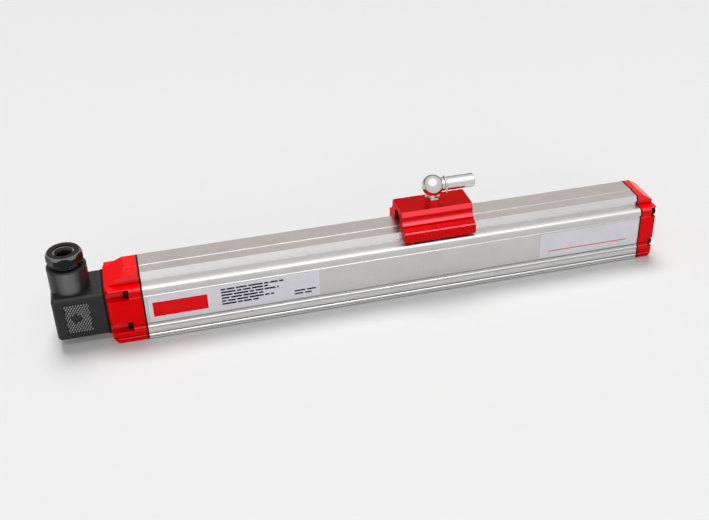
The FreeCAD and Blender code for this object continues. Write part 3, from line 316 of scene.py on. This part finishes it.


# Heights of the extrusion's bands above its bottom, distances of the bead's sides from the XZ
# plane, and the strengths of the painted shade and the painted light on the bands

BOTTOM_END = (5.0 * MM, 6.2 * MM)
GROOVES_END = (30.0 * MM, 31.0 * MM)
GROOVE_REACH = 1.4 * MM
GROOVE_RANGE = (0.25, 0.85)
RAIL_FOOT_START = (34.3 * MM, 34.42 * MM)
RAIL_FOOT_END = (36.8 * MM, 37.0 * MM)
RAIL_FOOT_PAINTED_LIGHT = 0.55
BEAD_START = (40.0 * MM, 40.05 * MM)
BEAD_SIDES = (2.36 * MM, 2.44 * MM)
BEAD_PAINTED_SHADE = 0.7
SLANT_RANGE = (0.3, 1.0)
SLANT_PAINTED_SHADE = 0.42


def make_extrusion_surface(name, dark, light, shade, painted_light):
    """Satin aluminium drawn along X, with painted shade in its narrow grooves, on the slanting
    faces among them and on the bead's sides, and painted light at the rail's foot and along the
    bottom."""
    surface = Surface(name)
    fine = surface.noise((14.0, 5200.0, 5200.0), GRAIN_DETAIL)
    place = surface.axes(surface.place)
    # Painted light: a lighter colour at the rail's foot and along the bottom.
    foot = surface.math(
        "MULTIPLY",
        surface.between(place["Z"], 0.0, RAIL_FOOT_PAINTED_LIGHT, *RAIL_FOOT_START),
        surface.between(place["Z"], 1.0, 0.0, *RAIL_FOOT_END))
    bottom = surface.between(place["Z"], 1.0, 0.0, *BOTTOM_END)
    metal = surface.blend(surface.math("MAXIMUM", foot, bottom),
                          surface.tone(dark, light), painted_light)
    # Painted shade: ambient occlusion darkens the narrow grooves below the rail towards the shade
    # colour.
    hidden = surface.node("AmbientOcclusion", {"Distance": GROOVE_REACH}, samples=8)
    kept = surface.between(hidden.outputs["AO"], 0.0, 1.0, *GROOVE_RANGE)
    # Painted shade on the slanting faces among the grooves, which dims their highlights.
    slanting = surface.between(surface.slant(), 0.0, SLANT_PAINTED_SHADE, *SLANT_RANGE)
    above = surface.between(place["Z"], 0.0, 1.0, *GROOVES_END)
    kept = surface.math("MAXIMUM", surface.math("SUBTRACT", kept, slanting), above)
    # Painted shade on the bead's sides.
    away = surface.math("ABSOLUTE", place["Y"])
    bead = surface.math("MULTIPLY",
                        surface.between(place["Z"], 0.0, 1.0, *BEAD_START),
                        surface.between(away, 0.0, BEAD_PAINTED_SHADE, *BEAD_SIDES))
    kept = surface.math("SUBTRACT", kept, bead, clamp=True)
    surface.feed("Base Color", surface.blend(kept, shade, metal))
    surface.feed("Roughness", surface.between(fine, 0.27, 0.36))
    surface.relief(fine, 0.004 * MM, 0.15 * MM)
    surface.shader.inputs["Metallic"].default_value = 1.0
    return surface


# Height where the cable tower starts, how squarely the faces with its painted sheen point along
# Y, and the distances from the XZ plane between which the hatch has a painted highlight on its
# tops

TOWER_START = (32.5 * MM, 34.0 * MM)
SHEEN_FACING_RANGE = (0.8, 1.0)
RIDGE_TOP_START, RIDGE_TOP_END = 13.45 * MM, 13.5 * MM


def make_plug_surface(name, dark, light, tower_sheen_colour):
    """Moulded plastic with a painted sheen: a lighter colour on the front and the back of the
    cable tower, on faces that point along Y.
    """
    surface = Surface(name)
    fine = surface.noise((3600.0, 3600.0, 3600.0), GRAIN_DETAIL)
    tower = surface.between(surface.axes(surface.place)["Z"], 0.0, 1.0, *TOWER_START)
    # Painted sheen: a lighter colour on the tower's faces that point along Y.
    forward = surface.math("ABSOLUTE", surface.facing()["Y"])
    sheen_facing = surface.math("MULTIPLY", surface.between(forward, 0.0, 1.0, *SHEEN_FACING_RANGE), tower)
    tower_sheen = surface.math("MULTIPLY", sheen_facing,
                          surface.between(surface.noise((300.0, 300.0, 60.0)), 0.75, 1.0))
    surface.feed("Base Color", surface.blend(tower_sheen, surface.tone(dark, light), tower_sheen_colour))
    surface.feed("Roughness", surface.between(fine, 0.34, 0.46))
    surface.relief(fine, 0.02 * MM, 0.45 * MM)
    surface.shader.inputs["Specular IOR Level"].default_value = 0.25
    return surface


def make_ridge_highlight_surface(name, dark, light):
    """Plug plastic with a painted highlight: a lighter colour on the tops of the hatch."""
    surface = Surface(name)
    patches = surface.noise((900.0, 900.0, 900.0))
    # Painted highlight: a lighter colour on the tops of the hatch.
    away = surface.math("ABSOLUTE", surface.axes(surface.place)["Y"])
    top_highlight = surface.math("MULTIPLY", surface.between(away, 0.0, 1.0, RIDGE_TOP_START, RIDGE_TOP_END),
                        surface.between(patches, 0.7, 1.0))
    surface.feed("Base Color", surface.blend(top_highlight, dark, light))
    surface.feed("Roughness", surface.between(patches, 0.34, 0.5))
    surface.relief(patches, 0.01 * MM, 0.05 * MM)
    return surface


MATERIALS = {
    # Extrusion: two metal tones, then the painted shade colour and the painted light colour.
    "extrusion": make_extrusion_surface(
        "extrusion", (0.565, 0.562, 0.555), (0.60, 0.597, 0.59), (0.20, 0.198, 0.195),
        (0.86, 0.857, 0.85)),
    "glide": plain_surface(
        "glide", (0.38, 0.006, 0.010), (0.48, 0.008, 0.014), (1800.0, 1800.0, 1800.0),
        (0.4, 0.5), 0.01 * MM, Specular_IOR_Level=0.2),
    # Hatch ridges: dark plastic, and the colour of the painted highlight on their tops.
    "plug_ridge_highlight": make_ridge_highlight_surface(
        "plug_ridge_highlight", (0.006, 0.006, 0.007), (0.30, 0.30, 0.305)),
    "gasket": plain_surface(
        "gasket", (0.003, 0.003, 0.003), (0.007, 0.007, 0.007), (3000.0, 3000.0, 3000.0),
        (0.55, 0.75), 0.02 * MM, Specular_IOR_Level=0.15),
    # Red cap: the paler tone on slanting faces is a painted pink highlight on its rounds and
    # bevels.
    "red_cap": plain_surface(
        "red_cap", (0.77, 0.0, 0.002), (0.86, 0.0, 0.003), (420.0, 420.0, 420.0),
        (0.13, 0.2), 0.012 * MM, edge=0.35 * MM, painted_highlight=(0.92, 0.065, 0.068),
        Specular_IOR_Level=0.2, Specular_Tint=(1.0, 0.12, 0.12, 1.0)),
    "black_screw": plain_surface(
        "black_screw", (0.003, 0.003, 0.003), (0.007, 0.007, 0.007), (2400.0, 2400.0, 2400.0),
        (0.06, 0.12), 0.004 * MM, edge=0.5 * MM, Specular_IOR_Level=0.1),
    "board": plain_surface(
        "board", (0.010, 0.10, 0.030), (0.016, 0.15, 0.045), (1500.0, 1500.0, 1500.0),
        (0.3, 0.42), 0.01 * MM),
    "component": plain_surface(
        "component", (0.012, 0.012, 0.012), (0.03, 0.03, 0.03), (2500.0, 2500.0, 2500.0),
        (0.45, 0.6), 0.01 * MM),
    "waveguide": plain_surface(
        "waveguide", (0.50, 0.48, 0.44), (0.58, 0.56, 0.52), (60.0, 6000.0, 6000.0),
        (0.24, 0.34), 0.003 * MM, Metallic=1.0),
    "waveguide_sleeve": plain_surface(
        "waveguide_sleeve", (0.58, 0.37, 0.13), (0.68, 0.46, 0.18), (60.0, 5000.0, 5000.0),
        (0.28, 0.38), 0.003 * MM, Metallic=1.0),
    "carrier": plain_surface(
        "carrier", (0.50, 0.49, 0.45), (0.60, 0.59, 0.55), (1800.0, 1800.0, 1800.0),
        (0.4, 0.5), 0.01 * MM),
    "socket": plain_surface(
        "socket", (0.012, 0.012, 0.013), (0.024, 0.024, 0.026), (2000.0, 2000.0, 2000.0),
        (0.3, 0.45), 0.01 * MM),
    "contact": plain_surface(
        "contact", (0.60, 0.58, 0.53), (0.68, 0.66, 0.62), (2500.0, 300.0, 2500.0),
        (0.22, 0.32), 0.003 * MM, Metallic=1.0),
    "lead": plain_surface(
        "lead", (0.02, 0.02, 0.09), (0.03, 0.03, 0.13), (1200.0, 1200.0, 1200.0),
        (0.35, 0.45), 0.01 * MM),
    # Plug: two plastic tones, then the colour of the painted sheen on the cable tower.
    "plug": make_plug_surface(
        "plug", (0.014, 0.0145, 0.016), (0.020, 0.0205, 0.022), (0.16, 0.159, 0.161)),
    # Gland: the paler tone on slanting faces is a painted glint on its chamfers.
    "gland": plain_surface(
        "gland", (0.003, 0.0028, 0.0028), (0.007, 0.006, 0.006), (500.0, 500.0, 500.0),
        (0.30, 0.42), 0.01 * MM, edge=0.35 * MM, painted_highlight=(0.16, 0.16, 0.165),
        sideways=False, Specular_IOR_Level=0.05, Coat_Weight=0.25, Coat_Roughness=0.05),
    "gland_ring": plain_surface(
        "gland_ring", (0.40, 0.40, 0.395), (0.50, 0.50, 0.495), (900.0, 900.0, 900.0),
        (0.12, 0.2), 0.005 * MM, Metallic=0.75),
    # Slider: the paler tone on slanting faces is a painted pink highlight on its chamfers and
    # cove.
    "red_slider": plain_surface(
        "red_slider", (0.59, 0.0, 0.002), (0.67, 0.0, 0.003), (30.0, 4200.0, 4200.0),
        (0.22, 0.32), 0.005 * MM, edge=0.2 * MM, painted_highlight=(0.76, 0.058, 0.07), Metallic=1.0,
        Coat_Weight=0.15, Coat_Roughness=0.2, Specular_Tint=(1.0, 0.0, 0.0, 1.0)),
    "magnet": plain_surface(
        "magnet", (0.05, 0.05, 0.052), (0.08, 0.08, 0.082), (1800.0, 1800.0, 1800.0),
        (0.4, 0.55), 0.01 * MM, Metallic=0.8),
    "bright_steel": plain_surface(
        "bright_steel", (0.56, 0.56, 0.555), (0.64, 0.64, 0.635), (900.0, 900.0, 900.0),
        (0.07, 0.13), 0.004 * MM, edge=0.2 * MM, Metallic=1.0),
    "label": plain_surface(
        "label", (0.67, 0.665, 0.71), (0.73, 0.725, 0.77), (4000.0, 4000.0, 4000.0),
        (0.34, 0.44), 0.004 * MM, Metallic=0.45),
    "red_ink": plain_surface(
        "red_ink", (0.76, 0.001, 0.003), (0.84, 0.001, 0.004), (3000.0, 3000.0, 3000.0),
        (0.32, 0.42), 0.003 * MM, Specular_IOR_Level=0.1),
    "dark_ink": plain_surface(
        "dark_ink", (0.004, 0.004, 0.006), (0.010, 0.010, 0.013), (3000.0, 3000.0, 3000.0),
        (0.35, 0.45), 0.003 * MM, Specular_IOR_Level=0.2),
}

# Nodes that look different from the rest of their material slot
OWN_MATERIALS = {"front_glide": "glide", "rear_glide": "glide"}


def dress_cad_nodes():
    slots = {row["node"]: row["material_slot"] for row in frame["record"]["subparts"]}
    for name, node in NODES.items():
        for holder in node.material_slots:
            holder.material = MATERIALS[OWN_MATERIALS.get(name, slots[name])].material


def new_piece(name, mesh_builder, slot, body, material=None):
    """A piece whose mesh is finished by bmesh, riding on a body."""
    mesh = bpy.data.meshes.new(name)
    mesh_builder.normal_update()
    mesh_builder.to_mesh(mesh)
    mesh_builder.free()
    piece = bpy.data.objects.new(name, mesh)
    bpy.context.scene.collection.objects.link(piece)
    mesh.materials.append(MATERIALS[material or slot].material)
    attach(piece, body)


# Printing on the labels: plain blocks and rules only

INK_THICKNESS = 0.02 * MM

# Blocks on a label in millimetres: left, right, low, high
RED_BLOCK = (2.4, 33.2, 3.3, 12.8)
RED_STRIPE = (5.6, 56.6, 4.0, 4.55)

# Dark rules, also in millimetres: rows of broken dashes, and a column of two rows beside them
ROW_PITCH = 1.95
TEXT_LEFT, TEXT_TOP, TEXT_HEIGHT = 41.0, 13.6, 1.1
TEXT_REACHES = (36.0, 27.0, 33.0, 24.0, 30.0, 21.0)
DASHES = 8
DASH_SHORTEST, DASH_STEP, DASH_LENGTHS = 2.6, 1.9, 4
DASH_GAP, DASH_LEAST = 0.75, 0.8
NOTE_LEFT, NOTE_TOP, NOTE_HEIGHT = 83.0, 4.9, 1.0
NOTE_REACHES = (11.5, 9.0)
NOTE_SHARE, NOTE_GAP = 0.55, 1.0


def add_block(builder, node, left, right, low, high):
    """A thin printed block on the front of a label. Left and right are measured from the
    label's left end, low and high from its lower edge, all in millimetres."""
    corner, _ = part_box(node)
    back = corner.y + INK_THICKNESS / 2
    front = corner.y - INK_THICKNESS / 2
    across = [corner.x + value * MM for value in (left, right)]
    up = [corner.z + value * MM for value in (low, high)]
    outline = [(across[0], up[0]), (across[1], up[0]), (across[1], up[1]), (across[0], up[1])]
    near = [builder.verts.new((x, front, z)) for x, z in outline]
    far = [builder.verts.new((x, back, z)) for x, z in outline]
    builder.faces.new(near)
    builder.faces.new(list(reversed(far)))
    for index in range(4):
        after = (index + 1) % 4
        builder.faces.new((near[index], far[index], far[after], near[after]))


def print_block(name, node, block):
    builder = bmesh.new()
    add_block(builder, node, *block)
    new_piece(name, builder, "label", "housing", "red_ink")


def print_rules(name, node):
    builder = bmesh.new()
    for row, reach in enumerate(TEXT_REACHES):
        low = TEXT_TOP - row * ROW_PITCH
        start = TEXT_LEFT
        for step in range(DASHES):
            length = DASH_SHORTEST + DASH_STEP * ((row * 3 + step * 5) % DASH_LENGTHS)
            end = min(start + length, TEXT_LEFT + reach)
            if end - start > DASH_LEAST:
                add_block(builder, node, start, end, low, low + TEXT_HEIGHT)
            start = end + DASH_GAP
    for row, reach in enumerate(NOTE_REACHES):
        low = NOTE_TOP - row * ROW_PITCH
        middle = NOTE_LEFT + reach * NOTE_SHARE
        for start, end in ((NOTE_LEFT, middle), (middle + NOTE_GAP, NOTE_LEFT + NOTE_GAP + reach)):
            add_block(builder, node, start, end, low, low + NOTE_HEIGHT)
    new_piece(name, builder, "label", "housing", "dark_ink")


def make_label_printing():
    print_block("long_label_block", "long_label", RED_BLOCK)
    print_rules("long_label_rules", "long_label")
    print_block("short_label_stripe", "short_label", RED_STRIPE)


# Hatched grips on the plug: small ridges in slanting rows around a plain dimple

GRIP_SIZE = (14.0 * MM, 20.4 * MM)
GRIP_DEPTH = 0.5 * MM
DIMPLE_SHIFT = 1.3 * MM
DIMPLE_CLEAR = 2.9 * MM
GRIP_MIDDLE_BACK = 15.0 * MM
PLUG_FLANGE = 0.5 * MM
RIDGE_SPACING = 1.5 * MM
RIDGE_LIFT = 1.4 * MM
RIDGE_LEAN = 0.93 * MM
RIDGE_HEIGHT = 0.4 * MM
RIDGE_LONG = 0.72 * MM
RIDGE_WIDE = 0.33 * MM
RIDGE_TAPER = 0.86
RIDGE_ROOT = 0.05 * MM


def make_grip(name, side):
    low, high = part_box("plug_housing")
    middle_x = high.x - GRIP_MIDDLE_BACK
    middle_z = low.z + (high.x - low.x - PLUG_FLANGE) / 2
    face = (high.y if side > 0 else low.y)
    floor = face - side * GRIP_DEPTH
    lean = Vector((RIDGE_LEAN, RIDGE_LIFT)).normalized()
    across_lean = Vector((lean.y, -lean.x))
    builder = bmesh.new()
    rows = int(GRIP_SIZE[1] / 2 / RIDGE_LIFT) + 1
    columns = int((GRIP_SIZE[0] / 2 + rows * RIDGE_LEAN) / RIDGE_SPACING) + 1
    for row in range(-rows, rows + 1):
        for column in range(-columns, columns + 1):
            centre = Vector((column * RIDGE_SPACING + row * RIDGE_LEAN, row * RIDGE_LIFT))
            inside = (abs(centre.x) + RIDGE_WIDE < GRIP_SIZE[0] / 2
                      and abs(centre.y) + RIDGE_LONG < GRIP_SIZE[1] / 2)
            clear = math.hypot(centre.x + DIMPLE_SHIFT, centre.y) > DIMPLE_CLEAR
            if not (inside and clear):
                continue
            feet = [lean * RIDGE_LONG * along + across_lean * RIDGE_WIDE * across
                    for along, across in ((1, 1), (1, -1), (-1, -1), (-1, 1))]
            base, top = [], []
            for foot in feet:
                base.append(builder.verts.new((middle_x + centre.x + foot.x,
                                               floor - side * RIDGE_ROOT,
                                               middle_z + centre.y + foot.y)))
                top.append(builder.verts.new((middle_x + centre.x + foot.x * RIDGE_TAPER,
                                              floor + side * RIDGE_HEIGHT,
                                              middle_z + centre.y + foot.y * RIDGE_TAPER)))
            builder.faces.new(base)
            builder.faces.new(list(reversed(top)))
            for index in range(4):
                after = (index + 1) % 4
                builder.faces.new((base[after], base[index], top[index], top[after]))
    bmesh.ops.recalc_face_normals(builder, faces=builder.faces)
    new_piece(name, builder, "plug", "housing", "plug_ridge_highlight")


make_camera()
make_world()
make_softbox("key", place=(-0.25, -1.55, 2.63), size=(2.75, 0.2), power=15.0)
make_softbox("front", place=(-0.9, -3.4, 1.0), size=(3.2, 1.4), power=27.0, shown=False)
make_high_light(elevation=69.0, azimuth=2.0, spread=29.0, strength=2.75)
make_floor()
dress_cad_nodes()
make_label_printing()
make_grip("front_grip", -1)
make_grip("rear_grip", 1)

bpy.context.scene.view_settings.view_transform = "Standard"
